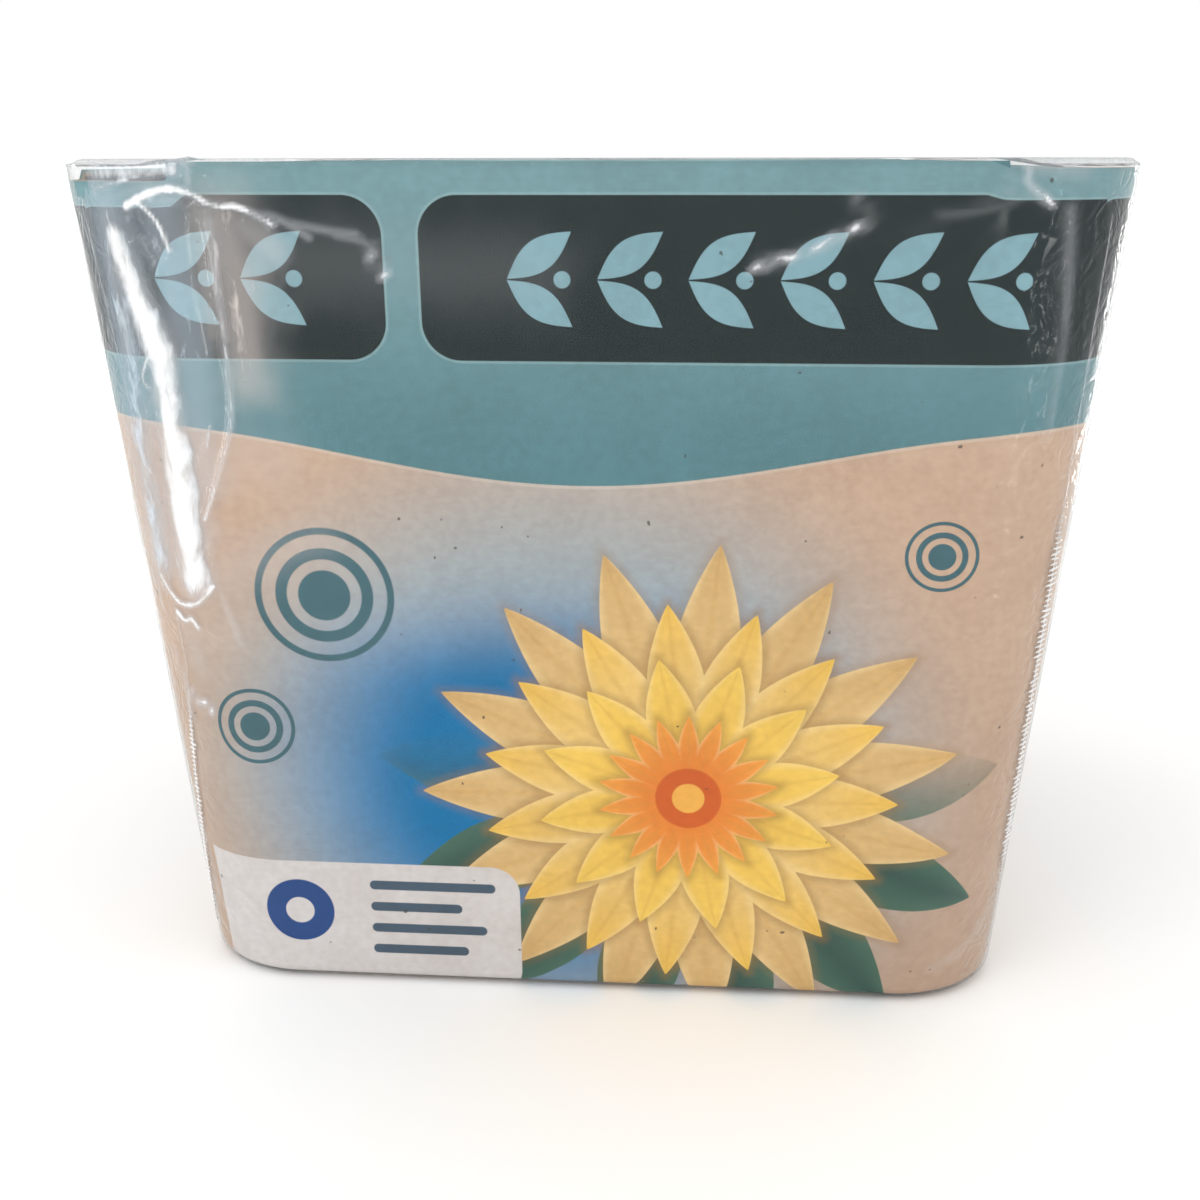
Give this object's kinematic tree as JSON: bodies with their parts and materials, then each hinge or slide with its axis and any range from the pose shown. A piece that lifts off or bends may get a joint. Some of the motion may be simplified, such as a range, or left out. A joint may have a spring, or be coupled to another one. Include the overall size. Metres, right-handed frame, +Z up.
{
  "type": "shrink-wrapped planting kit carton",
  "caption": "Tapered square carton with rounded corners and printed card walls, in clear shrink film, round a slotted planting basket with substrate bag, rhizome and leaflet.",
  "frame": {"origin": "centre of the base, on the surface that the package stands on", "axes": "+Z up through the package, -Y out of the front printed panel, +X to the right as seen from the front"},
  "size_m": [0.1996, 0.1996, 0.167],
  "materials": {
    "clear_film": "clear glossy shrink film with creases, haze and gathered side seals",
    "printed_card": "kraft card printed in muted teal, slate, blue and warm yellow, satin where printed",
    "basket_plastic": "moulded dark plastic, satin",
    "bag_film": "crumpled film bag with dark soil showing through",
    "root": "rough fibrous root bark",
    "leaflet_paper": "uncoated paper"
  },
  "bodies": {
    "root": {"film": "clear_film", "carton": "printed_card", "basket": "basket_plastic", "substrate_bag": "bag_film", "rhizome": "root", "leaflet": "leaflet_paper"}
  },
  "joints": []
}
